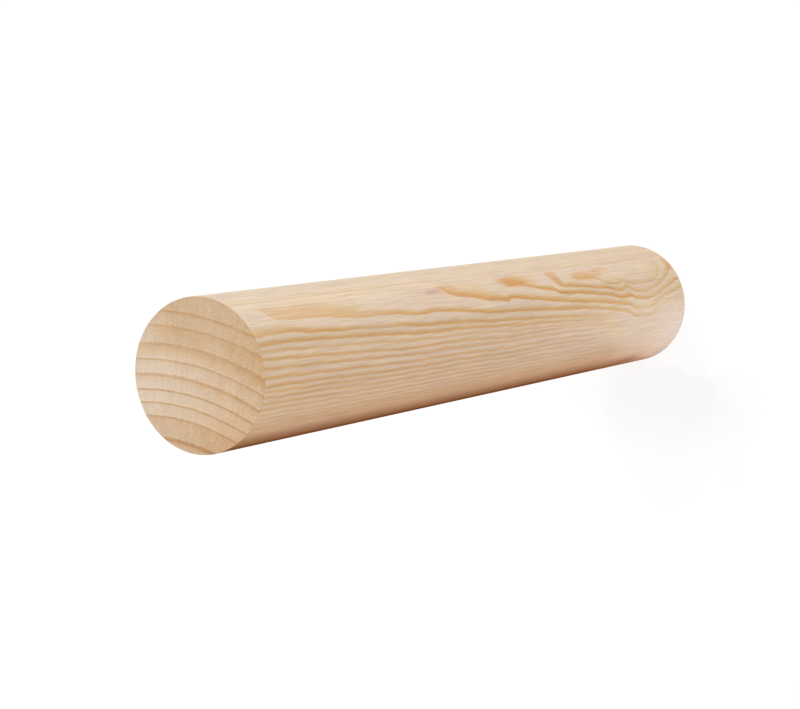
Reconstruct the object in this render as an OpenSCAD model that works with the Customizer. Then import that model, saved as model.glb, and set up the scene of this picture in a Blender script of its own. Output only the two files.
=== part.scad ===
// Plain wooden dowel pin: a smooth round rod, cut square at both ends, with the
// sharp edge of each end just broken by sanding.
//
// The pin stands on its foot at z = 0, centred on the Z axis, and is the same
// either way up. Lengths are in millimetres.

/* [Pin] */
// Diameter of the rod, which is the diameter of the hole it is glued into
pin_d = 25; // [6:0.5:50]
// Length over both end faces
pin_l = 160; // [30:1:300]

/* [Ends] */
// Radius of the rounding that sanding leaves on the edge of each end face
edge_r = 0.1; // [0.05:0.05:1]

/* [Hidden] */

pin_r = pin_d / 2;
wood = [0.88, 0.76, 0.60];
$fn = 96;

// Half of the pin's section, from its axis out to its side. The quarter round
// at each end is tangent to the side and to the end face.
module half_section() {
    round_x = pin_r - edge_r;
    square([round_x, pin_l]);
    translate([0, edge_r])
        square([pin_r, pin_l - 2 * edge_r]);
    for (round_y = [edge_r, pin_l - edge_r])
        translate([round_x, round_y])
            circle(r = edge_r);
}

// The whole pin, turned from the half section
module dowel() {
    color(wood)
        rotate_extrude()
            half_section();
}

dowel();
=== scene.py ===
"""Looks of a softwood dowel pin: a smooth round rod, cut square, that stands on its foot.

The rod's grain is laid out by two directions across it, the crown and the front, a quarter turn
apart. Distances in the finishes are millimetres: down from the head along the rod, and round the
rod from the crown, with the front at a quarter turn.
"""

import logging
import math
from abc import ABC, abstractmethod
from collections.abc import Callable, Iterator, Mapping, Sequence
from contextlib import contextmanager
from dataclasses import dataclass
from enum import Enum, IntEnum
from typing import Any, Union

import bpy
import numpy as np
from mathutils import Matrix, Vector


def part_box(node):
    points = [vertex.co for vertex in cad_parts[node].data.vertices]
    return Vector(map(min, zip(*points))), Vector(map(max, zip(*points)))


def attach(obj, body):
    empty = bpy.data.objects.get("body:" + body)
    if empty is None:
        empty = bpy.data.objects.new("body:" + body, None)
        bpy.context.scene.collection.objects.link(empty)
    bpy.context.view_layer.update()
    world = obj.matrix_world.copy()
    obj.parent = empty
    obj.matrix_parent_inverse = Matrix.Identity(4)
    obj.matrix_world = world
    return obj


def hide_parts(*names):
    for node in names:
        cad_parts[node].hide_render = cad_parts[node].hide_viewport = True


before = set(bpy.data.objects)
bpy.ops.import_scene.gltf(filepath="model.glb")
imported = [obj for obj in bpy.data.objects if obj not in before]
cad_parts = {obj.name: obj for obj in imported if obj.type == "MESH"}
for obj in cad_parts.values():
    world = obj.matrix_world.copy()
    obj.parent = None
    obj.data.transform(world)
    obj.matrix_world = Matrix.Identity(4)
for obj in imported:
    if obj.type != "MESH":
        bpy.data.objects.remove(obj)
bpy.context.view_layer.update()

log = logging.getLogger("dowel_pin")

NODE = "dowel"
BODY = "root"
MM = 0.001
TINY = 1e-6
STEEP = 0.7  # the least slope of an end face's normal along the rod
NOISE_MEAN = 0.5

Points = Sequence[tuple[float, float]]
Colour = tuple[float, float, float, float]
Inputs = Mapping[str | int, Any] | None
Socket = bpy.types.NodeSocket


def srgb(red: int, green: int, blue: int) -> Colour:
    """Turns a colour as a screen shows it into one that shaders take.

    Args:
        red: its red, 0 to 255.
        green: its green.
        blue: its blue.

    Returns:
        The linear colour.
    """

    def linear(level: int) -> float:
        """Turns one channel."""
        share = level / 255
        return share / 12.92 if share <= 0.04045 else ((share + 0.055) / 1.055) ** 2.4

    return (linear(red), linear(green), linear(blue), 1.0)


def soft_step(numbers: np.ndarray, low: float, high: float) -> np.ndarray:
    """Gives a soft step, 0 up to `low` and 1 from `high`."""
    share = np.clip((numbers - low) / (high - low), 0.0, 1.0)
    return share * share * (3 - 2 * share)


WHITE: Colour = (1.0, 1.0, 1.0, 1.0)
# Painted shade on the broken edge of either end, which dims the highlight that the edge catches.
EDGE_SHADE: Colour = (0.86, 0.80, 0.72, 1.0)


class Cut(IntEnum):
    """How a face of the rod cuts the grain, which is also the number of its material slot."""

    LONG = 0
    END = 1


class Element(Enum):
    """What is picked in a mesh."""

    EDGE = "EDGE"
    FACE = "FACE"


class Shape(Enum):
    """How a step changes between its ends."""

    SOFT = "SMOOTHSTEP"
    STRAIGHT = "LINEAR"


# --- node graphs -------------------------------------------------------------------------------


def _operator(operation: str, reflected: bool = False) -> Callable[["Value", "Number"], "Value"]:
    """Makes an operator for Value.

    Args:
        operation: that of the Math node that it adds.
        reflected: whether the Value is the second term.

    Returns:
        The operator.
    """

    def operate(self: "Value", other: "Number") -> "Value":
        """Adds the node on two numbers."""
        return self.math(operation, *((other, self) if reflected else (self, other)))

    return operate


class Value:
    """A number in a node graph; arithmetic on it adds Math nodes."""

    def __init__(self, graph: "Graph", socket: Socket) -> None:
        """Wraps one output socket of a graph."""
        self.graph = graph
        self.socket = socket

    def math(self, operation: str, *terms: "Number") -> "Value":
        """Adds a Math node of the given operation on these terms."""
        return self.graph.number("ShaderNodeMath", dict(enumerate(terms)), {"operation": operation})

    __add__, __radd__ = _operator("ADD"), _operator("ADD", reflected=True)
    __sub__, __rsub__ = _operator("SUBTRACT"), _operator("SUBTRACT", reflected=True)
    __mul__, __rmul__ = _operator("MULTIPLY"), _operator("MULTIPLY", reflected=True)
    __truediv__, __rtruediv__ = _operator("DIVIDE"), _operator("DIVIDE", reflected=True)
    highest, lowest = _operator("MAXIMUM"), _operator("MINIMUM")

    def root(self) -> "Value":
        """Gives the square root."""
        return self.math("SQRT", self)

    def line(self, slope: float, base: float) -> "Value":
        """Gives the number times a slope, on top of a base."""
        return self * slope + base

    def swing(self, reach: float) -> "Value":
        """Turns a noise into a shift to either side, whose far ends are `reach` apart."""
        return (self - NOISE_MEAN) * reach

    def rise(
        self,
        low: "Number",
        high: "Number",
        first: float = 0.0,
        last: float = 1.0,
        shape: Shape = Shape.SOFT,
    ) -> "Value":
        """Gives a step along the number.

        Args:
            low: the number up to which it is `first`.
            high: the number from which it is `last`.
            first: its height before the step.
            last: its height after the step.
            shape: how it changes between them.

        Returns:
            The height.
        """
        return self.graph.number(
            "ShaderNodeMapRange",
            {"Value": self, "From Min": low, "From Max": high, "To Min": first, "To Max": last},
            {"interpolation_type": shape.value, "clamp": True},
        )


Number = Union[Value, float]


class Graph:
    """The node tree of one material or of the world."""

    def __init__(self, tree: bpy.types.NodeTree) -> None:
        """Empties the tree, so that every node in it is one of ours."""
        tree.nodes.clear()
        self.tree = tree

    def add(self, kind: str, inputs: Inputs = None, settings: Inputs = None) -> bpy.types.Node:
        """Adds one node.

        Args:
            kind: the node's type.
            inputs: what its input sockets hold, by name or number: a number, colour or vector, or
                a Value or output socket to link.
            settings: its properties, set before its sockets; `stops` fills a colour ramp with
                (position, colour) pairs and `points` fills a float curve with (x, y) pairs.

        Returns:
            The node.
        """
        node = self.tree.nodes.new(kind)
        for name, setting in (settings or {}).items():
            if name == "stops":
                self._fill_ramp(node.color_ramp, setting)
            elif name == "points":
                self._fill_curve(node.mapping, setting)
            else:
                setattr(node, name, setting)
        for key, entry in (inputs or {}).items():
            if isinstance(entry, Value):
                entry = entry.socket
            if isinstance(entry, Socket):
                self.tree.links.new(entry, node.inputs[key])
            else:
                node.inputs[key].default_value = entry
        return node

    def socket(self, kind: str, inputs: Inputs = None, settings: Inputs = None) -> Socket:
        """Adds one node, as `add` does, and gives its first output."""
        return self.add(kind, inputs, settings).outputs[0]

    def number(
        self, kind: str, inputs: Inputs = None, settings: Inputs = None, output: str | int = 0
    ) -> Value:
        """Adds one node, as `add` does, and gives one of its outputs as a number."""
        return Value(self, self.add(kind, inputs, settings).outputs[output])

    def show(self, shader: Socket, kind: str = "ShaderNodeOutputMaterial") -> None:
        """Adds the output node and gives it the finished shader."""
        self.add(kind, {"Surface": shader})

    def _fill_ramp(self, ramp: bpy.types.ColorRamp, stops: Sequence[tuple[float, Colour]]) -> None:
        """Fills a colour ramp.

        Args:
            ramp: the ramp.
            stops: its (position, colour) pairs, in rising order.
        """
        while len(ramp.elements) < len(stops):
            ramp.elements.new(1.0)
        for element, (position, colour) in zip(ramp.elements, stops):
            element.position = position
            element.color = colour

    def _fill_curve(self, mapping: bpy.types.CurveMapping, points: Points) -> None:
        """Fills a float curve, which is level before its first point and after its last.

        Args:
            mapping: what holds the curve.
            points: its (x, y) pairs, in rising order.
        """
        mapping.use_clip = False
        mapping.extend = "HORIZONTAL"
        curve = mapping.curves[0]
        while len(curve.points) < len(points):
            curve.points.new(1.0, 1.0)
        for point, spot in zip(curve.points, points):
            point.location = spot
            point.handle_type = "AUTO_CLAMPED"
        mapping.update()

    def mix(self, share: Number, low: Any, high: Any, blend: str = "MIX") -> Socket:
        """Lays the colour `high` over the colour `low`, all of it where the share is 1."""
        settings = {"data_type": "RGBA", "blend_type": blend}
        return self.add("ShaderNodeMix", {0: share, 6: low, 7: high}, settings).outputs[2]

    def tinted(self, colour: Any, tint: Any) -> Socket:
        """Multiplies a colour by a tint."""
        return self.mix(1.0, colour, tint, "MULTIPLY")

    def ramp(self, share: Value, colours: Sequence[Colour]) -> Socket:
        """Gives a colour of a row of colours, from the first at 0 to the last at 1."""
        stops = [(step / (len(colours) - 1), colour) for step, colour in enumerate(colours)]
        return self.socket("ShaderNodeValToRGB", {0: share}, {"stops": stops})

    def vector(self, across: Number, up: Number, along: Number) -> Socket:
        """Joins three numbers into a vector."""
        return self.socket("ShaderNodeCombineXYZ", {0: across, 1: up, 2: along})

    def noise(
        self, at: Socket, scale: float, detail: float = 2.0, roughness: float = 0.5
    ) -> Value:
        """Gives a noise, about 0.5 on average, with `scale` cells to a unit of `at`."""
        inputs = {"Vector": at, "Scale": scale, "Detail": detail, "Roughness": roughness}
        return self.number("ShaderNodeTexNoise", inputs, {"noise_dimensions": "3D"})


def new_material(name: str) -> tuple[bpy.types.Material, Graph]:
    """Makes a material.

    Args:
        name: its name.

    Returns:
        The material and its empty node graph.
    """
    material = bpy.data.materials.new(name)
    material.use_nodes = True
    return material, Graph(material.node_tree)


@dataclass(frozen=True)
class Step:
    """A step along a distance, `first` up to `low` and `last` from `high`."""

    low: float
    high: float
    first: float = 0.0
    last: float = 1.0
    shape: Shape = Shape.SOFT

    def at(self, distance: Value) -> Value:
        """Gives the step's height at a distance."""
        return distance.rise(self.low, self.high, self.first, self.last, self.shape)


# --- the rod and its grain ---------------------------------------------------------------------


@dataclass(frozen=True)
class Rod:
    """The pin's sizes and the two directions across it that its grain is laid out by."""

    radius: float
    length: float
    crown_turn: float = math.radians(22.5)

    @classmethod
    def from_node(cls, node: str) -> "Rod":
        """Takes the sizes from a CAD node's box, whose foot is centred on the origin."""
        low, high = (Vector(corner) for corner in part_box(node))
        return cls(radius=(high.x - low.x) / 2, length=high.z - low.z)

    @property
    def crown(self) -> Vector:
        """Unit vector from the axis to the crown."""
        return Vector((math.cos(self.crown_turn), math.sin(self.crown_turn), 0.0))

    @property
    def front(self) -> Vector:
        """Unit vector from the axis to the front."""
        return Vector((math.sin(self.crown_turn), -math.cos(self.crown_turn), 0.0))

    @property
    def axes(self) -> Matrix:
        """Matrix that carries (front, crown, up) places to the scene's axes."""
        columns = Matrix((self.front, self.crown, Vector((0.0, 0.0, 1.0))))
        return columns.transposed().to_4x4()

    def outward(self, turn: float, rise: float) -> Vector:
        """Gives a direction out from the rod.

        Args:
            turn: angle round the rod from the crown, past the front, in degrees.
            rise: angle above the floor's plane, in degrees.

        Returns:
            The unit vector.
        """
        turned = math.radians(turn)
        raised = math.radians(rise)
        level = self.crown * math.cos(turned) + self.front * math.sin(turned)
        return level * math.cos(raised) + Vector((0.0, 0.0, math.sin(raised)))


@dataclass(frozen=True)
class Place:
    """Where a point of the wood lies in the grain, in millimetres."""

    graph: Graph
    front: Value
    crown: Value
    down: Value
    round: Value
    radius: float
    length: float
    rim_across: tuple[float, float] = (0.12, 0.05)
    rim_along: Step = Step(0.08, 0.16, 1.0, 0.0)

    @classmethod
    def on(cls, graph: Graph, rod: Rod) -> "Place":
        """Reads a point's place from its Object coordinates.

        Args:
            graph: the material's node graph.
            rod: the rod that the material dresses.

        Returns:
            The place, as numbers of that graph.
        """
        at = graph.add("ShaderNodeTexCoord").outputs["Object"]
        axis = graph.add("ShaderNodeSeparateXYZ", {0: at})
        east, north, up = (Value(graph, socket) / MM for socket in axis.outputs)
        front = east * rod.front.x + north * rod.front.y
        crown = east * rod.crown.x + north * rod.crown.y
        down = rod.length / MM - up
        turn = crown.math("ARCTAN2", crown * -1.0, front) + math.pi / 2
        radius = rod.radius / MM
        return cls(graph, front, crown, down, turn * radius, radius, rod.length / MM)

    def follow(self, points: Points, top: float = 1.0) -> Value:
        """Gives a number that changes smoothly down the rod.

        Args:
            points: (distance down the rod, number) pairs.
            top: a number that none of them passes.

        Returns:
            The number at this place.
        """
        spots = [(distance / self.length, number / top) for distance, number in points]
        share = {"Value": self.down / self.length}
        return self.graph.number("ShaderNodeFloatCurve", share, {"points": spots}) * top

    def rim(self) -> Value:
        """Finds the broken edge of either end, which takes painted shade.

        Returns:
            1 on it and 0 elsewhere.
        """
        out = (self.front * self.front + self.crown * self.crown).root()
        near, full = (self.radius - depth for depth in self.rim_across)
        inward = self.down.lowest(self.length - self.down)
        return out.rise(near, full) * self.rim_along.at(inward)


@dataclass(frozen=True)
class Grain:
    """A noise that runs through the whole rod, drawn out along it.

    It has `fineness` cells to a millimetre across the rod, each `stretch` times longer than wide.
    """

    fineness: float
    stretch: float = 1.0
    detail: float = 3.0
    roughness: float = 0.6

    def at(self, place: Place) -> Value:
        """Gives the noise at a place, about 0.5 on average."""
        spot = place.graph.vector(place.front, place.crown, place.down / self.stretch)
        return place.graph.noise(spot, self.fineness, self.detail, self.roughness)


@dataclass(frozen=True)
class GrowthRing:
    """A year's dark wood on the end grain.

    It darkens outwards over `fade` as far as `veil`, is darkest in a thin `core`, and stops short.
    """

    radius: float
    core: float
    dark: float
    fade: float
    veil: float
    veil_full: float = -0.05
    core_full: float = -0.6
    stop: tuple[float, float] = (-0.04, 0.14)

    def darkness(self, past: Any, step: Callable[..., Any], higher: Callable[..., Any]) -> Any:
        """Gives how dark the ring makes the wood.

        Args:
            past: distance out beyond the ring.
            step: a soft step of a number between two others.
            higher: the higher of two numbers.

        Returns:
            The darkness, 0 to 1, of the same kind as `past`.
        """
        veil = step(past, -self.fade, self.veil_full) * self.veil
        core = step(past, -self.core, self.core_full * self.core) * self.dark
        return higher(veil, core) * (1 - step(past, *self.stop))


@dataclass(frozen=True)
class Pith:
    """The centre of the growth rings, which lies outside the rod, and the rings about it.

    Along the middle of the rod the rings wander, within `wandering`, as the `drift` noise says.
    """

    front: float = -11.25
    crown: float = -45.95
    lean: float = 0.022
    wander: float = 2.4
    wandering: tuple[Step, ...] = (Step(0.0, 60.0), Step(100.0, 160.0, 1.0, 0.0))
    drift: Grain = Grain(0.06, 3.0, 2.0)
    rings: tuple[GrowthRing, ...] = (
        GrowthRing(56.65, 0.45, 0.70, 1.0, 0.35),
        GrowthRing(54.25, 0.45, 0.64, 2.4, 0.40),
        GrowthRing(51.35, 0.75, 0.80, 2.9, 0.78),
        GrowthRing(48.8, 0.40, 0.78, 1.3, 0.35),
        GrowthRing(46.45, 0.65, 0.80, 1.9, 0.45),
        GrowthRing(43.95, 0.35, 0.95, 0.9, 0.22),
        GrowthRing(41.85, 0.30, 0.88, 0.8, 0.18),
        GrowthRing(39.75, 0.35, 0.80, 1.8, 0.35),
        GrowthRing(36.4, 0.75, 1.00, 1.4, 0.40),
        GrowthRing(34.2, 0.30, 0.70, 0.8, 0.30),
    )

    def reach(self, front: Any, crown: Any, down: Any, root: Callable[[Any], Any]) -> Any:
        """Gives the distance from the pith, which leans towards the rod as it runs down.

        Args:
            front: the place's distance to the front.
            crown: its distance to the crown.
            down: its distance down the rod.
            root: the square root of such a number.

        Returns:
            The distance, of the same kind as the place's.
        """
        ahead = front - self.front
        above = crown - self.crown - down * self.lean
        return root(ahead * ahead + above * above)

    def darkness(self, front: np.ndarray, crown: np.ndarray, down: np.ndarray) -> np.ndarray:
        """Gives how dark the end grain is.

        Args:
            front: each place's distance to the front, in millimetres.
            crown: its distance to the crown.
            down: its distance down the rod.

        Returns:
            The darkness of each place, 0 to 1.
        """
        out = self.reach(front, crown, down, np.sqrt)
        dark = np.zeros_like(out)
        for ring in self.rings:
            dark = np.maximum(dark, ring.darkness(out - ring.radius, soft_step, np.maximum))
        return dark

    def late_wood(self, place: Place, ragged: Value) -> Value:
        """Gives how dark the growth rings make the wood.

        Args:
            place: where the wood lies.
            ragged: a distance that the rings are shifted in by.

        Returns:
            The darkness, 0 to 1.
        """
        out = self.reach(place.front, place.crown, place.down, Value.root)
        wandering = math.prod(step.at(place.down) for step in self.wandering)
        out = out + self.drift.at(place).swing(self.wander) * wandering + ragged
        dark: Any = 0.0
        for ring in self.rings:
            band = ring.darkness(out - ring.radius, Value.rise, Value.highest)
            dark = band.highest(dark)
        return dark


@dataclass(frozen=True)
class Profile:
    """How the dark of a line changes across it: full from `start` to `crest`, gone by `stop`."""

    start: float = -0.02
    crest: float = 0.06
    stop: float = 0.42

    def at(self, past: Value, fade: Number) -> Value:
        """Gives the share of the line's dark that a distance past it has, with its near fade."""
        return past.rise(fade * -1.0, self.start) * past.rise(self.crest, self.stop, 1.0, 0.0)


@dataclass(frozen=True)
class GrainLine:
    """A line of dark wood along the rod: it fades towards the crown and stops short past it.

    Its distance round from the crown, the width of its fade and its darkness are each given down
    the rod by (distance, number) pairs. No number passes 1 or the top that is given for it.
    """

    route: Points
    fade: Points
    dark: Points
    profile: Profile = Profile()
    route_top: float = 32.0
    fade_top: float = 12.0

    def darkness(self, place: Place, round_: Value) -> Value:
        """Gives how dark the line makes the wood.

        Args:
            place: where the wood lies.
            round_: the distance round from the crown, with the line's own sway in it.

        Returns:
            The darkness, 0 to 1.
        """
        past = round_ - place.follow(self.route, self.route_top)
        fade = place.follow(self.fade, self.fade_top)
        return self.profile.at(past, fade) * place.follow(self.dark)


FLAMES = (
    GrainLine(
        route=(
            (4, 6.0), (6.3, 8.2), (7, 9.5), (8, 10.5), (10, 10.8), (20, 11.3), (26, 11.85),
            (31, 12.4), (35, 12.6), (38, 12.5), (42, 12.8), (47, 13.2), (51, 13.6), (56, 13.5),
            (61, 13.9), (66, 14.3), (76, 15.4), (86, 15.8), (96, 16.4), (106, 17.0), (121, 18.1),
            (127, 18.9), (131, 19.4), (136, 20.8), (141, 20.9), (146, 19.9), (151, 18.9),
            (160, 17.9),
        ),
        fade=((0, 7.0), (20, 7.0), (26, 4.2), (33, 2.6), (40, 1.5), (48, 1.2), (160, 1.1)),
        dark=(
            (0, 0.5), (22, 0.5), (34, 0.56), (40, 0.72), (50, 0.88), (62, 0.9), (85, 0.88),
            (105, 0.78), (125, 0.7), (132, 0.66), (137, 0.42), (141, 0.3), (160, 0.25),
        ),
    ),
    GrainLine(
        route=(
            (4, 6.0), (6.3, 8.2), (7, 9.5), (8, 10.5), (10, 10.75), (20, 11.25), (26, 11.8),
            (31, 12.3), (36, 12.5),
        ),
        fade=((0, 0.3), (7, 0.3), (12, 0.9), (160, 0.9)),
        dark=((0, 0.2), (7, 0.4), (12, 0.6), (28, 0.66), (34, 0.5), (38, 0.0)),
    ),
    GrainLine(
        route=(
            (60, 6.0), (62.3, 8.2), (63.3, 9.5), (64.3, 10.5), (66, 11.0), (70, 11.5), (73, 12.2),
            (76, 12.7), (81, 13.2), (83, 13.5), (84.5, 13.1), (91, 13.8), (101, 14.9), (111, 15.9),
            (121, 16.7), (128, 17.5), (131, 17.8), (138, 19.2), (141, 19.2), (146, 18.3),
            (151, 17.3), (160, 16.1),
        ),
        fade=((0, 1.7), (64, 1.7), (68, 2.2), (78, 2.0), (86, 1.5), (160, 1.2)),
        dark=(
            (0, 0.0), (60, 0.0), (64.5, 0.8), (72, 0.85), (80, 1.0), (100, 0.98), (118, 0.88),
            (130, 0.76), (137, 0.5), (146, 0.38), (152, 0.5), (160, 0.62),
        ),
    ),
    GrainLine(
        route=(
            (82.5, 6.0), (84, 8.2), (85, 10.2), (91, 10.7), (96, 11.7), (101, 12.5), (103, 12.8),
            (104, 13.4), (106, 13.8), (111, 14.0), (121, 15.1), (126, 15.6), (131, 16.5),
            (134, 16.3), (136, 16.9), (138, 17.2), (141, 17.4), (146, 17.0), (151, 15.8),
            (160, 14.1),
        ),
        fade=((0, 4.0), (86, 4.0), (92, 2.3), (98, 1.4), (160, 1.2)),
        dark=(
            (0, 0.0), (82.5, 0.05), (87, 0.68), (94, 0.78), (100, 0.94), (106, 1.0), (120, 0.92),
            (132, 0.94), (138, 0.8), (146, 0.6), (151, 0.54), (156, 0.7), (160, 0.64),
        ),
    ),
    GrainLine(
        route=(
            (103, 6.0), (104, 8.2), (104.6, 10.5), (106, 12.0), (111, 12.5), (121, 13.6),
            (125, 13.9), (128, 14.6), (130, 14.9), (132, 14.8), (133.7, 14.3), (135, 14.8),
            (136, 15.3), (138, 15.6), (141, 15.8), (146, 15.2), (151, 14.1), (156, 12.5),
            (160, 10.5),
        ),
        fade=((0, 3.6), (106, 3.6), (109, 1.3), (150, 1.1), (155, 1.8), (160, 3.0)),
        dark=(
            (0, 0.0), (102.5, 0.1), (106, 0.72), (112, 0.86), (127, 0.84), (134, 0.68),
            (148, 0.52), (160, 0.66),
        ),
    ),
    GrainLine(
        route=(
            (111, 9.0), (113, 10.8), (118, 11.1), (121, 11.3), (124, 12.1), (127, 13.0),
            (130, 13.3), (133.2, 12.8), (134.5, 13.1), (135.7, 13.6), (138, 13.9), (141, 14.0),
            (146, 13.7), (150, 12.9), (152, 12.0), (153.5, 10.4), (154.5, 8.2), (160, 6.0),
        ),
        fade=((0, 1.8), (118, 1.8), (124, 1.1), (147, 1.1), (151, 1.6), (154, 2.4), (160, 2.4)),
        dark=(
            (0, 0.0), (111, 0.0), (114, 0.45), (124, 0.5), (130, 0.55), (142, 0.56), (150, 0.46),
            (153, 0.36), (155, 0.2), (160, 0.2),
        ),
    ),
    GrainLine(
        route=(
            (0, 13.4), (8, 13.2), (14, 13.6), (20, 14.0), (27, 14.4), (41, 15.0), (53, 15.8),
            (61, 16.1), (66, 16.3), (73, 16.8), (91, 17.7), (121, 19.4),
        ),
        fade=((0, 2.0), (9, 1.8), (14, 1.4), (30, 1.05), (60, 0.9), (160, 0.75)),
        dark=(
            (0, 0.72), (10, 0.8), (16, 0.9), (28, 0.74), (36, 0.62), (46, 0.84), (62, 0.8),
            (76, 0.74), (100, 0.68), (118, 0.45), (130, 0.0),
        ),
    ),
    GrainLine(
        route=(
            (0, 15.0), (6, 14.8), (11, 14.9), (16, 15.1), (20, 15.3), (27, 15.7), (40, 16.4),
            (53, 17.1), (61, 17.3), (66, 17.4), (73, 17.85), (91, 18.7), (121, 20.0),
        ),
        fade=((0, 0.95), (60, 0.75), (160, 0.7)),
        dark=(
            (0, 0.72), (10, 0.8), (18, 0.9), (30, 0.8), (40, 0.86), (60, 0.8), (75, 0.72),
            (100, 0.62), (118, 0.42), (130, 0.0),
        ),
    ),
    GrainLine(
        route=(
            (0, 16.1), (6, 16.1), (11, 16.3), (16, 16.5), (20, 16.7), (27, 17.0), (34, 17.3),
            (40, 17.7), (53, 18.2), (66, 18.5), (80, 19.2), (101, 19.9), (121, 20.5),
        ),
        fade=((0, 0.7), (60, 0.6), (160, 0.55)),
        dark=(
            (0, 0.58), (10, 0.62), (20, 0.52), (50, 0.56), (62, 0.42), (90, 0.48), (110, 0.42),
            (128, 0.0),
        ),
    ),
)

THREADS = tuple(
    GrainLine(((0, head), (160, foot)), ((0, fade), (160, fade)), dark, Profile(stop=stop))
    for head, foot, fade, stop, dark in (
        (1.8, 1.9, 0.25, 0.25, ((0, 0.2), (64, 0.28), (160, 0.1))),
        (3.0, 3.1, 0.3, 0.25, ((0, 0.1), (40, 0.12), (160, 0.05))),
        (5.65, 5.8, 0.25, 0.22, ((0, 0.36), (34, 0.3), (56, 0.1), (160, 0.08))),
        (6.45, 6.4, 0.25, 0.22, ((0, 0.55), (44, 0.52), (58, 0.36), (76, 0.14), (160, 0.1))),
        (7.75, 7.6, 0.3, 0.25, ((0, 0.34), (36, 0.34), (50, 0.15), (160, 0.12))),
    )
) + (
    GrainLine(
        route=((0, 8.1), (126, 9.4), (128, 8.6), (131, 8.1), (160, 7.9)),
        fade=((0, 0.5), (160, 0.5)),
        dark=((0, 0.0), (125, 0.0), (129, 0.3), (150, 0.3), (156, 0.0)),
    ),
)


@dataclass(frozen=True)
class Fan:
    """The fine lines past the flames, which draw together as they run down the rod.

    Each of `lines` has a distance round from the crown where `spread` is 0, one where `spread` is
    1, and its darkness, which fades down the rod as `weight` says.
    """

    lines: tuple[tuple[float, float, float], ...] = (
        (17.2, 21.0, 0.70), (18.6, 21.8, 0.68), (20.0, 22.9, 0.72), (21.3, 23.8, 0.70),
        (22.3, 24.6, 0.62), (23.2, 25.6, 0.62), (24.2, 26.3, 0.62), (25.2, 27.2, 0.56),
        (26.1, 28.0, 0.46), (27.0, 28.9, 0.38), (27.9, 29.7, 0.34), (28.8, 30.6, 0.3),
    )
    spread: Points = (
        (0, 0.0), (11, 0.1), (31, 0.38), (46, 0.54), (61, 0.58), (81, 0.8), (96, 0.84), (116, 1.0),
        (160, 1.4),
    )
    spread_top: float = 2.0
    weight: Points = (
        (0, 1.0), (40, 1.0), (60, 0.95), (94, 0.72), (118, 0.6), (126, 0.42), (134, 0.0),
    )
    fade: float = 0.6
    profile: Profile = Profile(start=-0.04)

    def darkness(self, place: Place, round_: Value) -> Value:
        """Gives how dark the lines make the wood.

        Args:
            place: where the wood lies.
            round_: the distance round from the crown, with the lines' own sway in it.

        Returns:
            The darkness, 0 to 1.
        """
        spread = place.follow(self.spread, self.spread_top)
        dark: Any = 0.0
        for start, end, deep in self.lines:
            past = round_ - (start + spread * (end - start))
            dark = (self.profile.at(past, self.fade) * deep).highest(dark)
        return dark * place.follow(self.weight)


# --- tints of the pale wood, and painted light and shade -----------------------------------------


@dataclass(frozen=True)
class Patch:
    """A soft oval on the side, in full up to `edge.low` of its size and gone by `edge.high`."""

    down: float
    round: float
    half_length: float
    half_height: float
    share: float
    edge: Step = Step(0.15, 1.0, 1.0, 0.0)

    def cover(self, place: Place) -> Value:
        """Gives how much of the patch's tint a place takes.

        Args:
            place: where the wood lies.

        Returns:
            The share, 0 to 1.
        """
        along = (place.down - self.down) / self.half_length
        across = (place.round - self.round) / self.half_height
        return self.edge.at(along * along + across * across) * self.share


@dataclass(frozen=True)
class Stain:
    """Patches of one tint."""

    colour: Colour
    patches: tuple[Patch, ...]


AMBER = Stain(
    (0.97, 0.83, 0.68, 1.0),
    (
        Patch(64.5, 9.3, 4.5, 1.7, 1.0),
        Patch(72.0, 11.0, 9.0, 1.1, 0.5),
        Patch(89.0, 9.2, 7.5, 2.2, 1.0),
        Patch(87.2, 9.2, 4.0, 1.0, 0.4),
        Patch(95.0, 10.3, 5.5, 1.1, 0.5),
        Patch(105.8, 9.6, 2.8, 3.0, 1.0),
        Patch(119.3, 10.4, 8.8, 1.7, 1.0),
        Patch(126.5, 9.5, 4.8, 1.0, 0.9),
        Patch(159.0, 9.8, 2.6, 3.0, 0.9),
        Patch(17.0, 10.2, 12.0, 1.6, 0.22),
    ),
)
HONEY = Stain(
    (0.97, 0.95, 0.82, 1.0),
    (
        Patch(71.5, 9.3, 7.5, 1.9, 0.75),
        Patch(29.0, 10.4, 6.5, 2.2, 0.95),
        Patch(94.0, 9.4, 6.0, 1.8, 0.9),
        Patch(77.0, 10.8, 8.0, 1.8, 0.3),
        Patch(131.0, 13.2, 10.0, 2.6, 0.5),
        Patch(152.0, 10.4, 5.0, 2.6, 0.6),
        Patch(142.0, 10.5, 12.0, 2.4, 0.25),
    ),
)
BRUISE = Stain(
    (0.88, 0.80, 0.80, 1.0),
    (Patch(59.0, 9.5, 3.2, 0.75, 1.0), Patch(56.0, 9.8, 8.0, 2.0, 0.4)),
)


@dataclass(frozen=True)
class Tint:
    """A colour that the side's pale wood is multiplied by, as far as its steps say.

    The steps run round from the crown, down from the head, and round from the wash's edge.
    """

    colour: Colour
    round: tuple[Step, ...] = ()
    down: tuple[Step, ...] = ()
    past: tuple[Step, ...] = ()

    def share(self, place: Place, past: Value) -> Value:
        """Gives how much of the tint a place takes that lies `past` the wash's edge."""
        runs = ((place.round, self.round), (place.down, self.down), (past, self.past))
        return math.prod(step.at(distance) for distance, steps in runs for step in steps)


# The flames stop at a seam, a straight line along the rod.
SEAM = 8.2
PAST_SEAM = Step(SEAM - 0.1, SEAM + 0.1)
IN_FRONT = Step(38.0, 48.0, 1.0, 0.0)

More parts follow.
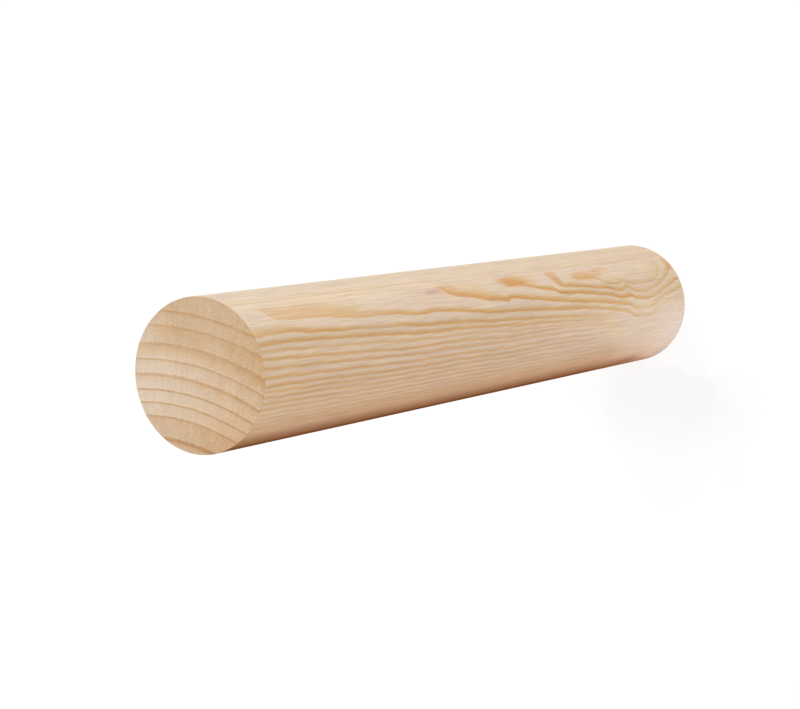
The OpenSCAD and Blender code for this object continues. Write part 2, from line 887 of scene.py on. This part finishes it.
TINTS_AND_PAINTED_LIGHT = (
    # Painted shade: redder and darker towards the underside, for most of the way down.
    Tint(
        (0.93, 0.87, 0.78, 1.0),
        round=(Step(26.0, 30.0), IN_FRONT),
        down=(Step(120.0, 150.0, 1.0, 0.0),),
    ),
    # Peach on the crown's side of the seam, more so further down.
    Tint(
        (1.0, 0.975, 0.925, 1.0),
        round=(Step(SEAM - 0.6, SEAM, 1.0, 0.0),),
        down=(Step(0.0, 160.0, shape=Shape.STRAIGHT),),
    ),
    # Duller just before the seam.
    Tint(
        (0.94, 0.93, 0.93, 1.0),
        round=(Step(4.5, 7.5), Step(SEAM - 0.1, SEAM + 0.1, 1.0, 0.0)),
        down=(Step(0.0, 100.0),),
    ),
    # Rose past the seam.
    Tint((0.965, 0.945, 0.96, 1.0), round=(PAST_SEAM, IN_FRONT)),
    # Painted light: paler towards the underside at the foot, where the shade thins.
    Tint(
        (1.08, 1.08, 1.08, 1.0),
        round=(Step(22.0, 30.0), IN_FRONT),
        down=(Step(118.0, 148.0),),
    ),
    # Pinker inside the wash.
    Tint(
        (1.02, 1.03, 1.09, 1.0),
        round=(Step(25.5, 28.5, 1.0, 0.0),),
        down=(Step(15.0, 45.0), Step(78.0, 92.0, 1.0, 1.6), Step(108.0, 134.0, 1.0, 0.0)),
        past=(Step(3.0, 7.0),),
    ),
    # Painted light: paler and bluer in front of the foot, where the shade thins.
    Tint(
        (1.065, 1.125, 1.21, 1.0),
        round=(Step(18.5, 24.0), Step(32.0, 38.0, 1.0, 0.4), IN_FRONT),
        down=(Step(143.0, 156.0),),
    ),
    # Painted highlight: paler and bluer along the crown.
    Tint((1.045, 1.075, 1.1, 1.0), round=(Step(-9.0, -3.0), Step(0.5, 4.0, 1.0, 0.0))),
    # Painted shade: darker along the underside, except at the foot.
    Tint(
        (0.74, 0.68, 0.66, 1.0),
        round=(Step(33.2, 34.8), Step(36.5, 43.0, 1.0, 0.0)),
        down=(Step(110.0, 142.0, 1.0, 0.0),),
    ),
    # Yellower among the flames.
    Tint((0.995, 0.99, 0.955, 1.0), round=(Step(9.0, 12.0), Step(17.5, 22.0, 1.0, 0.0))),
)


@dataclass(frozen=True)
class Wash:
    """The browner wood past the flames and on the back of the rod.

    It builds up over `rises` past its edge and gives way over `thins` down the rod, which starts
    further down by `lag` towards the underside.
    """

    colour: Colour = (0.815, 0.77, 0.715, 1.0)
    edge: Points = ((0, 12.6), (50, 13.8), (100, 14.5), (122, 17.5), (136, 22), (150, 30))
    edge_top: float = 40.0
    rises: tuple[Step, ...] = (
        Step(0.0, 2.0, 0.0, 0.52),
        Step(2.0, 8.0, 0.0, 0.48),
        Step(9.0, 14.0, 0.0, -0.34),
    )
    thins: tuple[Step, ...] = (
        Step(84.0, 100.0, 0.0, 0.25, Shape.STRAIGHT),
        Step(100.0, 142.0, 0.0, 0.75),
    )
    lag: Step = Step(24.0, 28.0, 0.0, 12.0)
    back: Step = Step(-10.0, 0.0, 0.5, 0.0)

    def past(self, place: Place) -> Value:
        """Gives the distance round from the wash's edge."""
        return place.round - place.follow(self.edge, self.edge_top)

    def share(self, place: Place, past: Value) -> Value:
        """Gives how much of the wash a place takes.

        Args:
            place: where the wood lies.
            past: the distance round from the wash's edge.

        Returns:
            The share, 0 to 1.
        """
        away = place.down - self.lag.at(place.round)
        full = sum(step.at(past) for step in self.rises)
        thin = 1 - sum(step.at(away) for step in self.thins)
        return (full * thin * IN_FRONT.at(place.round)).highest(self.back.at(place.front))


@dataclass(frozen=True)
class Speckle:
    """Darker and lighter specks, which follow a noise."""

    dark: Colour
    light: Colour
    contrast: Step = Step(0.28, 0.72)

    def tint(self, graph: Graph, noise: Value, strength: Number = 1.0) -> Socket:
        """Gives the tint that a noise makes, darker where its strength is below 1."""
        return graph.mix(self.contrast.at(noise) * strength, self.dark, self.light)


# --- finishes ------------------------------------------------------------------------------------


@dataclass(frozen=True)
class Timber(ABC):
    """What the two cuts of the wood share."""

    name: str
    roughness: float
    relief: float
    dulling: float
    shine: float = 0.3
    pith: Pith = Pith()

    def material(self, rod: Rod) -> bpy.types.Material:
        """Makes the material.

        Args:
            rod: the rod that it dresses.

        Returns:
            The material, which reads Object coordinates.
        """
        material, graph = new_material(self.name)
        colour, dull, height = self.layers(Place.on(graph, rod))
        bumps = {"Distance": self.relief * MM, "Height": height}
        inputs = {
            "Base Color": colour,
            "Roughness": dull * self.dulling + self.roughness,
            "Specular IOR Level": self.shine,
            "Normal": graph.socket("ShaderNodeBump", bumps),
        }
        graph.show(graph.socket("ShaderNodeBsdfPrincipled", inputs))
        return material

    @abstractmethod
    def layers(self, place: Place) -> tuple[Socket, Value, Value]:
        """Lays out the cut.

        Args:
            place: where a point of the wood lies.

        Returns:
            Its colour, how dull it is, -1 to 1, and its height, 0 to 1, for bumps.
        """


@dataclass(frozen=True)
class LongGrain(Timber):
    """The side of the rod: pale wood with tan flames and fine lines along it.

    Further round, over `ringed`, it shows the growth rings of the ends instead.
    """

    name: str = "pine_long_grain"
    roughness: float = 0.6
    relief: float = 0.006
    dulling: float = 0.08
    pale: Colour = srgb(231, 210, 187)
    lines: tuple[Colour, ...] = (
        WHITE, (0.975, 0.935, 0.83, 1.0), (0.94, 0.84, 0.66, 1.0),
        (0.925, 0.74, 0.48, 1.0), (0.875, 0.60, 0.29, 1.0),
    )
    line_height: float = 0.5
    flames: tuple[GrainLine, ...] = FLAMES
    threads: tuple[GrainLine, ...] = THREADS
    fan: Fan = Fan()
    wash: Wash = Wash()
    tints_and_painted_light: tuple[Tint, ...] = TINTS_AND_PAINTED_LIGHT
    stains: tuple[Stain, ...] = (AMBER, HONEY, BRUISE)
    sway_stretch: float = 0.45
    slow_sway: float = 0.11
    slow_reach: float = 0.4
    quick_sway: float = 0.5
    quick_reach: float = 0.5
    uneven: Grain = Grain(0.35, 14.0)
    uneven_line: tuple[float, float] = (0.5, 0.78)
    ragged: Grain = Grain(0.5, 8.0)
    ragged_reach: float = 0.5
    ringed: tuple[Step, ...] = (Step(31.0, 38.0), Step(-6.0, -1.5, 1.0, 0.0))
    ringed_dark: float = 0.85
    cloud: Grain = Grain(0.25, 3.0)
    clouds: Speckle = Speckle((0.98, 0.97, 0.985, 1.0), (1.02, 1.02, 0.985, 1.0))
    fibre: Grain = Grain(1.6, 32.0, 4.0)
    fibres: Speckle = Speckle((0.968, 0.964, 0.955, 1.0), (1.02, 1.02, 1.025, 1.0))
    hair: Grain = Grain(4.4, 34.0, 2.0)
    hairs: Speckle = Speckle((0.912, 0.908, 0.902, 1.0), (1.075, 1.075, 1.075, 1.0))

    def layers(self, place: Place) -> tuple[Socket, Value, Value]:
        """Lays out the side.

        Args:
            place: where a point of the wood lies.

        Returns:
            Its colour, how dull it is and its height, as Timber.layers says.
        """
        fibre = self.fibre.at(place)
        late = self._late_wood(place)
        colour = place.graph.tinted(self._wood(place, fibre), place.graph.ramp(late, self.lines))
        return colour, fibre - late, fibre + late * self.line_height

    def _late_wood(self, place: Place) -> Value:
        """Lays out the dark wood.

        Args:
            place: where a point of the wood lies.

        Returns:
            How dark the grain is, from 0 in the pale wood to 1 in the darkest line.
        """
        graph = place.graph
        flat = graph.vector(place.round, place.down * self.sway_stretch, 0.0)
        slow = graph.noise(flat, self.slow_sway).swing(self.slow_reach)
        quick = graph.noise(flat, self.quick_sway, 1.0).swing(self.quick_reach)
        round_ = place.round + (slow + quick)
        dark = self.fan.darkness(place, round_)
        for line in self.flames:
            dark = dark.highest(line.darkness(place, round_))
        dark = dark * PAST_SEAM.at(place.round)
        for thread in self.threads:
            dark = dark.highest(thread.darkness(place, round_))
        dark = dark * self.uneven.at(place).line(*self.uneven_line)
        ragged = self.ragged.at(place).swing(self.ragged_reach)
        ringed = sum(step.at(place.round) for step in self.ringed)
        rings = self.pith.late_wood(place, ragged) * self.ringed_dark * ringed
        return dark.highest(rings).lowest(1.0)

    def _wood(self, place: Place, fibre: Value) -> Socket:
        """Colours the pale wood between the lines, with painted light and shade on it.

        Args:
            place: where a point of the wood lies.
            fibre: the noise of its fibres.

        Returns:
            Its colour.
        """
        graph = place.graph
        past = self.wash.past(place)
        beyond = PAST_SEAM.at(place.round)
        tints_and_painted_light = [(self.wash.share(place, past), self.wash.colour)]
        tints_and_painted_light += [(tint.share(place, past), tint.colour) for tint in self.tints_and_painted_light]
        tints_and_painted_light += [
            (patch.cover(place) * beyond, stain.colour)
            for stain in self.stains
            for patch in stain.patches
        ]
        # Painted shade on the broken edge, which dims the highlight it catches.
        tints_and_painted_light.append((place.rim(), EDGE_SHADE))
        wood: Any = self.pale
        for share, tint in tints_and_painted_light:
            wood = graph.tinted(wood, graph.mix(share, WHITE, tint))
        wood = graph.tinted(wood, self.clouds.tint(graph, self.cloud.at(place)))
        wood = graph.tinted(wood, self.fibres.tint(graph, fibre))
        return graph.tinted(wood, self.hairs.tint(graph, self.hair.at(place)))


@dataclass(frozen=True)
class Year:
    """A change of the end grain's tone, `out` from the pith and as far as `across` lets it."""

    out: Step
    across: tuple[Step, ...] = ()

    def tone(self, out: Value, front: Value) -> Value:
        """Gives what the year adds to the tone at a distance out and a distance to the front."""
        return self.out.at(out) * math.prod(step.at(front) for step in self.across)


@dataclass(frozen=True)
class EndGrain(Timber):
    """The sawn ends: growth rings cut across."""

    name: str = "pine_end_grain"
    roughness: float = 0.72
    relief: float = 0.02
    dulling: float = 0.1
    light: Colour = srgb(228, 209, 188)
    sandy: Colour = srgb(207, 176, 138)
    rings: tuple[Colour, ...] = (WHITE, (0.97, 0.885, 0.765, 1.0), (0.785, 0.645, 0.485, 1.0))
    years: tuple[Year, ...] = (
        Year(Step(51.0, 51.5, 0.0, 0.25)),
        Year(Step(51.0, 51.5, 0.0, 0.3), (Step(-9.5, -6.0), Step(-4.0, 5.0, 1.0, 0.0))),
        Year(Step(39.5, 40.0, 0.3, 0.0)),
        Year(Step(41.5, 42.1, 0.14, 0.0)),
        Year(Step(43.5, 44.5, 0.12, 0.0), (Step(0.0, 8.0),)),
    )
    front_tone: float = 0.036
    mottle_tone: float = 0.7
    least_tone: float = 0.04
    mottle: Grain = Grain(0.35)
    grit: Grain = Grain(2.6, detail=2.0)
    ragged_reach: float = 0.3
    blot_size: float = 0.35
    blot_line: tuple[float, float] = (0.6, 0.74)
    ray_size: float = 1.3
    ray_stretch: float = 0.12
    ray_height: float = 0.4
    rays: Speckle = Speckle((0.97, 0.955, 0.95, 1.0), (1.02, 1.02, 1.02, 1.0), Step(0.3, 0.7))
    grains: Speckle = Speckle((0.94, 0.92, 0.89, 1.0), (1.08, 1.08, 1.08, 1.0), Step(0.3, 0.72))
    grain_line: tuple[float, float] = (0.5, 0.5)
    # Painted glint: the colour that the mouths of pores and resin canals are lightened by.
    pore_glint: Colour = (1.16, 1.17, 1.16, 1.0)
    pore_cells: float = 1.3
    pore_edge: Step = Step(0.13, 0.27, 1.0, 0.0)
    pore_groups: Grain = Grain(0.9)
    pore_share: Step = Step(0.42, 0.55)
    pore_line: tuple[float, float] = (0.6, 0.4)

    def layers(self, place: Place) -> tuple[Socket, Value, Value]:
        """Lays out an end.

        Args:
            place: where a point of the wood lies.

        Returns:
            Its colour, how dull it is and its height, as Timber.layers says.
        """
        graph = place.graph
        mottle = self.mottle.at(place)
        grit = self.grit.at(place)
        ahead = place.front - self.pith.front
        above = place.crown - self.pith.crown
        turn = above.math("ARCTAN2", above, ahead) * -self.pith.crown
        ray = graph.noise(graph.vector(turn, above * self.ray_stretch, 0.0), self.ray_size)
        blot = graph.noise(graph.vector(turn, above, 0.0), self.blot_size)
        ragged = grit.swing(self.ragged_reach) + mottle.swing(self.ragged_reach)
        late = self.pith.late_wood(place, ragged) * blot.line(*self.blot_line)
        tone = self._tone(place, mottle)
        tints_and_painted_light = (
            graph.ramp(late, self.rings),
            self.grains.tint(graph, grit, tone.line(*self.grain_line)),
            self.rays.tint(graph, ray),
            # painted glints at the pore mouths
            graph.mix(self._pore_glints(place) * tone.line(*self.pore_line), WHITE, self.pore_glint),
            # painted shade on the broken edge
            graph.mix(place.rim(), WHITE, EDGE_SHADE),
        )
        wood = graph.mix(tone, self.light, self.sandy)
        for tint in tints_and_painted_light:
            wood = graph.tinted(wood, tint)
        return wood, grit - late, grit + ray * self.ray_height

    def _tone(self, place: Place, mottle: Value) -> Value:
        """Lays out the tone of the pale wood.

        Args:
            place: where a point of the wood lies.
            mottle: the noise of its mottling.

        Returns:
            The tone, from 0 for light wood to 1 for sandy wood.
        """
        out = self.pith.reach(place.front, place.crown, place.down, Value.root)
        out = out + (mottle - NOISE_MEAN)
        tone = place.front * self.front_tone + mottle.line(self.mottle_tone, self.least_tone)
        for year in self.years:
            tone = tone + year.tone(out, place.front)
        return tone.rise(0.0, 1.0, shape=Shape.STRAIGHT)

    def _pore_glints(self, place: Place) -> Value:
        """Scatters painted glints at the mouths of pores and resin canals, where they catch the
        light.

        Args:
            place: where a point of the wood lies.

        Returns:
            1 in a mouth and 0 elsewhere.
        """
        spot = place.graph.vector(place.front, place.crown, place.down)
        inputs = {"Vector": spot, "Scale": self.pore_cells}
        near = place.graph.number("ShaderNodeTexVoronoi", inputs, output="Distance")
        return self.pore_edge.at(near) * self.pore_share.at(self.pore_groups.at(place))


# --- the pin -----------------------------------------------------------------------------------


def corner_places(mesh: bpy.types.Mesh) -> np.ndarray:
    """Gives the place of every vertex.

    Args:
        mesh: the mesh.

    Returns:
        The places, a row each.
    """
    places = np.empty(3 * len(mesh.vertices))
    mesh.vertices.foreach_get("co", places)
    return places.reshape(-1, 3)


def deselect_all() -> None:
    """Leaves nothing selected, because an operator acts on all that is."""
    bpy.ops.object.select_all(action="DESELECT")


@dataclass(frozen=True)
class BakeMap:
    """Where the side and the ends lie in the map for baking, which is 1 wide and 1 high."""

    name: str = "OFBake"
    foot_middle: tuple[float, float] = (0.25, 0.79)
    head_middle: tuple[float, float] = (0.75, 0.79)
    disc_size: float = 0.395
    strip_start: float = 0.006
    strip_size: tuple[float, float] = (0.988, 0.565)


@dataclass
class DowelPin:
    """The pin: a turned rod whose two sawn ends have broken edges and rings that stand proud.

    Its object is `pin`, once the rod is turned.
    """

    rod: Rod
    pith: Pith
    sides: int = 512
    lengths: int = 15
    edge_round: float = 0.1 * MM
    edge_steps: int = 3
    edge_hold: float = 0.4 * MM
    sunk: float = 0.06 * MM
    smooth_below: float = math.radians(50)
    bake_map: BakeMap = BakeMap()
    pin: bpy.types.Object | None = None

    def build(self) -> bpy.types.Object:
        """Models the rod and has it stand for the CAD solid.

        Returns:
            The finished pin, without its finishes.
        """
        self._turn_rod()
        self._break_edges()
        self._divide_side()
        self._fill_ends()
        self._sink_pale_wood()
        bpy.ops.object.shade_smooth_by_angle(angle=self.smooth_below)
        self._unwrap()
        pin = self.pin
        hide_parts(NODE)
        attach(pin, BODY)
        return pin

    def _turn_rod(self) -> None:
        """Adds the bare rod, standing on the floor."""
        deselect_all()
        bpy.ops.mesh.primitive_cylinder_add(
            vertices=self.sides,
            radius=self.rod.radius,
            depth=self.rod.length,
            end_fill_type="NGON",
            calc_uvs=False,
            location=(0.0, 0.0, self.rod.length / 2),
        )
        self.pin = bpy.context.object
        self.pin.name = "pine_dowel"
        bpy.ops.object.transform_apply(location=True)

    def _break_edges(self) -> None:
        """Rounds the rim of both ends."""
        with self._picked(Element.EDGE, lambda places: np.ptp(places[:, 2]) < TINY):
            bpy.ops.mesh.bevel(offset=self.edge_round, segments=self.edge_steps)

    def _divide_side(self) -> None:
        """Cuts the side into short lengths, the first and last of them close to the rims."""
        span = self.rod.length - 2 * self.edge_hold
        with self._picked(Element.EDGE, lambda places: np.ptp(places[:, 2]) > span):
            for height in (self.edge_hold, self.rod.length - self.edge_hold):
                bpy.ops.mesh.select_all(action="SELECT")
                bpy.ops.mesh.bisect(plane_co=(0.0, 0.0, height), plane_no=(0.0, 0.0, 1.0))
        with self._picked(Element.EDGE, lambda places: np.ptp(places[:, 2]) > span - TINY):
            bpy.ops.mesh.subdivide(number_cuts=self.lengths - 1)

    def _fill_ends(self) -> None:
        """Swaps the one face of each end for a grid fine enough to carry the rings."""
        with self._picked(Element.FACE, lambda places: len(places) == self.sides):
            bpy.ops.mesh.delete(type="ONLY_FACE")
        for height in (0.0, self.rod.length):
            with self._picked(Element.EDGE, lambda places: self._on_rim(places, height)):
                bpy.ops.mesh.fill_grid(span=self.sides // 4)

    def _on_rim(self, places: np.ndarray, height: float) -> bool:
        """Says whether places all lie on the flat of an end, inside its broken edge.

        Args:
            places: the places.
            height: how high the end is.

        Returns:
            Whether they do.
        """
        level = np.abs(places[:, 2] - height) < TINY
        inside = np.hypot(places[:, 0], places[:, 1]) < self.rod.radius - self.edge_round + TINY
        return bool(np.all(level & inside))

    @contextmanager
    def _picked(self, element: Element, wanted: Callable[[np.ndarray], bool]) -> Iterator[None]:
        """Selects edges or faces by where their corners are, for edits within the context.

        Args:
            element: what is selected.
            wanted: says of an array of corner places whether its edge or face is selected.

        Yields:
            Nothing; it is in edit mode until the context ends.
        """
        bpy.ops.object.mode_set(mode="EDIT")
        bpy.ops.mesh.select_mode(type=element.value)
        bpy.ops.mesh.select_all(action="DESELECT")
        bpy.ops.object.mode_set(mode="OBJECT")
        mesh = self.pin.data
        places = corner_places(mesh)
        for part in mesh.edges if element is Element.EDGE else mesh.polygons:
            part.select = bool(wanted(places[list(part.vertices)]))
        bpy.ops.object.mode_set(mode="EDIT")
        yield
        bpy.ops.object.mode_set(mode="OBJECT")

    def _sink_pale_wood(self) -> None:
        """Lowers the soft pale wood of both ends, which leaves the dark rings standing proud."""
        pin = self.pin
        places = corner_places(pin.data)
        front = places @ np.array(self.rod.front) / MM
        crown = places @ np.array(self.rod.crown) / MM
        down = (self.rod.length - places[:, 2]) / MM
        soft = 1.0 - self.pith.darkness(front, crown, down)
        inside = np.hypot(places[:, 0], places[:, 1]) < self.rod.radius - self.edge_round - TINY
        at_end = np.minimum(places[:, 2], self.rod.length - places[:, 2]) < TINY
        group = pin.vertex_groups.new(name="soft_ends")
        for index in np.flatnonzero(inside & at_end):
            group.add([int(index)], float(soft[index]), "REPLACE")
        sink = pin.modifiers.new("sink", "DISPLACE")
        sink.vertex_group = group.name
        sink.direction = "NORMAL"
        sink.mid_level = 0.0
        sink.strength = -self.sunk
        bpy.ops.object.modifier_apply(modifier=sink.name)
        pin.vertex_groups.clear()

    def _unwrap(self) -> None:
        """Lays the side out as one strip and the ends as two discs, in the map for baking."""
        mesh = self.pin.data
        places = corner_places(mesh)
        corners = np.empty(len(mesh.loops), dtype=np.int64)
        mesh.loops.foreach_get("vertex_index", corners)
        spots = np.zeros((len(corners), 2))
        for face in mesh.polygons:
            loops = np.arange(face.loop_start, face.loop_start + face.loop_total)
            at = places[corners[loops]]
            if abs(face.normal.z) > STEEP:
                spots[loops] = self._disc_spots(at, face.center.z > self.rod.length / 2)
            else:
                spots[loops] = self._strip_spots(at, face.center)
        mesh.uv_layers.new(name=self.bake_map.name).data.foreach_set("uv", spots.ravel())

    def _disc_spots(self, at: np.ndarray, head: bool) -> np.ndarray:
        """Lays out an end face.

        Args:
            at: where its corners are.
            head: whether it is on the head, not on the foot.

        Returns:
            Where they lie in the map.
        """
        flat = at[:, :2] / (2 * self.rod.radius) * self.bake_map.disc_size
        if head:
            return self.bake_map.head_middle + flat
        return self.bake_map.foot_middle + flat * (-1.0, 1.0)

    def _strip_spots(self, at: np.ndarray, centre: Vector) -> np.ndarray:
        """Lays out a side face.

        Args:
            at: where its corners are.
            centre: where its middle is, which says on which side of the cut it is.

        Returns:
            Where they lie in the map.
        """
        turn = math.atan2(centre.y, centre.x)
        turns = turn + np.angle(np.exp(1j * (np.arctan2(at[:, 1], at[:, 0]) - turn)))
        round_ = ((turn - self.rod.crown_turn) % math.tau + turns - turn) / math.tau
        along = at[:, 2] / self.rod.length
        spots = np.column_stack([along, round_])
        return self.bake_map.strip_start + spots * self.bake_map.strip_size

    def dress(self, long_grain: LongGrain, end_grain: EndGrain) -> None:
        """Gives the side and the ends their finishes.

        Args:
            long_grain: the side's finish.
            end_grain: the ends' finish.
        """
        for finish in (long_grain, end_grain):
            self.pin.data.materials.append(finish.material(self.rod))
        for face in self.pin.data.polygons:
            face.material_index = Cut.END if abs(face.normal.z) > STEEP else Cut.LONG


# --- the studio --------------------------------------------------------------------------------


@dataclass(frozen=True)
class Lamp:
    """A soft square lamp that looks at the middle of the rod, from a turn and a rise in degrees.

    It lights a surface turned straight to it by `light`.
    """

    name: str
    turn: float
    rise: float
    size: float
    light: float
    away: float = 2.5

    def place(self, rod: Rod) -> None:
        """Hangs the lamp.

        Args:
            rod: what it lights.
        """
        data = bpy.data.lights.new(self.name, "AREA")
        data.shape = "SQUARE"
        data.size = self.size
        data.energy = self.light * self.away**2 * math.pi**2
        lamp = bpy.data.objects.new(self.name, data)
        bpy.context.scene.collection.objects.link(lamp)
        toward = rod.outward(self.turn, self.rise)
        lamp.location = Vector((0.0, 0.0, rod.length / 2)) + toward * self.away
        lamp.rotation_euler = toward.to_track_quat("Z", "Y").to_euler()
        lamp.visible_camera = False


@dataclass(frozen=True)
class Card:
    """A black card beside the rod that keeps light off it, or one that glows towards it.

    It reaches from `near` to `far`, both (front, crown) places, and from foot to head by `up`, in
    millimetres. Its foot leans away from the rod by `lean` degrees.
    """

    name: str
    near: tuple[float, float]
    far: tuple[float, float]
    up: tuple[float, float]
    lean: float = 0.0
    glow: float = 0.0
    tint: Colour = (1.0, 0.38, 0.1, 1.0)
    paint: Colour = (0.02, 0.02, 0.02, 1.0)

    def place(self, rod: Rod) -> None:
        """Stands the card by the rod, where the camera does not see it.

        Args:
            rod: what it stands by.
        """
        deselect_all()
        bpy.ops.mesh.primitive_plane_add(size=1.0)
        card = bpy.context.object
        card.name = self.name
        near, far = Vector(self.near), Vector(self.far)
        foot, head = self.up
        middle = (near + far) / 2
        across = far - near
        spot = Matrix.Translation(Vector((middle.x, middle.y, (foot + head) / 2)) * MM)
        lean = Matrix.Rotation(-math.radians(self.lean), 4, "X")
        turn = Matrix.Rotation(math.atan2(across.y, across.x) + math.pi / 2, 4, "Z")
        upright = Matrix.Rotation(math.pi / 2, 4, "Y")
        shape = Matrix.Diagonal(((head - foot) * MM, across.length * MM, 1.0, 1.0))
        card.matrix_world = rod.axes @ spot @ lean @ turn @ upright @ shape
        bpy.ops.object.transform_apply(location=True, rotation=True, scale=True)
        card.data.materials.append(self._material())
        card.visible_camera = False

    def _material(self) -> bpy.types.Material:
        """Makes the card's paint.

        Returns:
            Matt black, which on a glowing card also glows on the side to the rod.
        """
        material, graph = new_material(self.name)
        shader = graph.socket("ShaderNodeBsdfDiffuse", {"Color": self.paint})
        if self.glow:
            inputs = {"Color": self.tint, "Strength": self.glow}
            glow = graph.socket("ShaderNodeEmission", inputs)
            lit = graph.socket("ShaderNodeAddShader", {0: shader, 1: glow})
            inner = graph.number("ShaderNodeNewGeometry", output="Backfacing")
            shader = graph.socket("ShaderNodeMixShader", {0: inner, 1: shader, 2: lit})
        graph.show(shader)
        return material


@dataclass(frozen=True)
class Studio:
    """Camera, floor, lamps, cards and backdrop.

    The camera is at `camera_at`, a (front, crown, up) place in millimetres.
    """

    rod: Rod
    lens: float = 101.55
    sensor: float = 36.0
    camera_at: tuple[float, float, float] = (208.4, 29.4, 445.5)
    tilt: float = math.radians(5.21)
    turn: float = math.radians(30.89)
    lamps: tuple[Lamp, ...] = (
        Lamp("crown_lamp", -22.0, 8.0, 0.8, 1.01),
        Lamp("front_lamp", 98.0, 8.0, 0.8, 0.93),
        Lamp("top_lamp", 0.0, 88.0, 0.8, 0.58),
        Lamp("back_lamp", 250.0, 12.0, 1.2, 0.60),
    )
    cards: tuple[Card, ...] = (
        Card("shade_card", (18.0, -12.2), (18.0, -30.0), (16.0, 166.0)),
        Card("foot_card", (18.0, -14.4), (18.0, -30.0), (0.0, 18.0), lean=13.0),
        Card("warm_card", (12.0, -11.8), (-10.0, -19.0), (17.0, 168.0), glow=0.31),
        Card("warm_foot_card", (12.0, -14.0), (-10.0, -19.0), (1.0, 17.0), glow=0.36),
    )
    floor_size: float = 12.0
    paper: Colour = (0.15, 0.15, 0.15, 1.0)
    paper_glow: float = 0.88
    shadow_edge: Step = Step(0.3, 0.9)
    ambient: float = 0.06

    def camera(self) -> None:
        """Adds the camera, which looks down on the head past the front of the rod."""
        data = bpy.data.cameras.new("camera")
        data.lens = self.lens
        data.sensor_width = self.sensor
        camera = bpy.data.objects.new("camera", data)
        bpy.context.scene.collection.objects.link(camera)
        at = Matrix.Translation(Vector(self.camera_at) * MM)
        tilt = Matrix.Rotation(-self.tilt, 4, "X")
        turn = Matrix.Rotation(self.turn, 4, "Y")
        camera.matrix_world = self.rod.axes @ at @ tilt @ turn
        bpy.context.scene.camera = camera

    def floor(self) -> None:
        """Lays the floor, white to the camera but for the rod's shadow."""
        deselect_all()
        bpy.ops.mesh.primitive_plane_add(size=self.floor_size)
        floor = bpy.context.object
        floor.name = "floor"
        material, graph = new_material("white_paper")
        seen = graph.number("ShaderNodeLightPath", output="Is Camera Ray")
        spot = graph.add("ShaderNodeTexCoord").outputs["Object"]
        out = graph.number("ShaderNodeVectorMath", {0: spot}, {"operation": "LENGTH"}, "Value")
        paper = graph.socket("ShaderNodeBsdfDiffuse", {"Color": self.paper})
        glow = graph.socket("ShaderNodeEmission", {"Color": WHITE, "Strength": self.paper_glow})
        lit = graph.socket("ShaderNodeAddShader", {0: paper, 1: glow})
        plain = graph.socket("ShaderNodeEmission", {"Color": WHITE, "Strength": 1.0})
        near = graph.socket("ShaderNodeMixShader", {0: seen, 1: paper, 2: lit})
        far = seen * self.shadow_edge.at(out)
        graph.show(graph.socket("ShaderNodeMixShader", {0: far, 1: near, 2: plain}))
        floor.data.materials.append(material)

    def backdrop(self) -> None:
        """Makes the world white to the camera and a weak, even light to all else."""
        world = bpy.data.worlds.new("studio")
        bpy.context.scene.world = world
        world.use_nodes = True
        graph = Graph(world.node_tree)
        seen = graph.number("ShaderNodeLightPath", output="Is Camera Ray")
        soft, plain = (
            graph.socket("ShaderNodeBackground", {"Color": WHITE, "Strength": strength})
            for strength in (self.ambient, 1.0)
        )
        sky = graph.socket("ShaderNodeMixShader", {0: seen, 1: soft, 2: plain})
        graph.show(sky, "ShaderNodeOutputWorld")

    def build(self) -> None:
        """Sets up everything round the object."""
        bpy.context.scene.view_settings.view_transform = "Standard"
        self.camera()
        self.floor()
        self.backdrop()
        for item in (*self.cards, *self.lamps):
            item.place(self.rod)
            log.info("%s is in place", item.name)


def main() -> None:
    """Builds the studio and the pin, in order."""
    logging.basicConfig(level=logging.INFO, format="%(name)s: %(message)s")
    rod = Rod.from_node(NODE)
    Studio(rod).build()
    design = DowelPin(rod, Pith())
    pin = design.build()
    design.dress(LongGrain(), EndGrain())
    log.info("%s: %d faces", pin.name, len(pin.data.polygons))


if __name__ == "__main__":
    main()
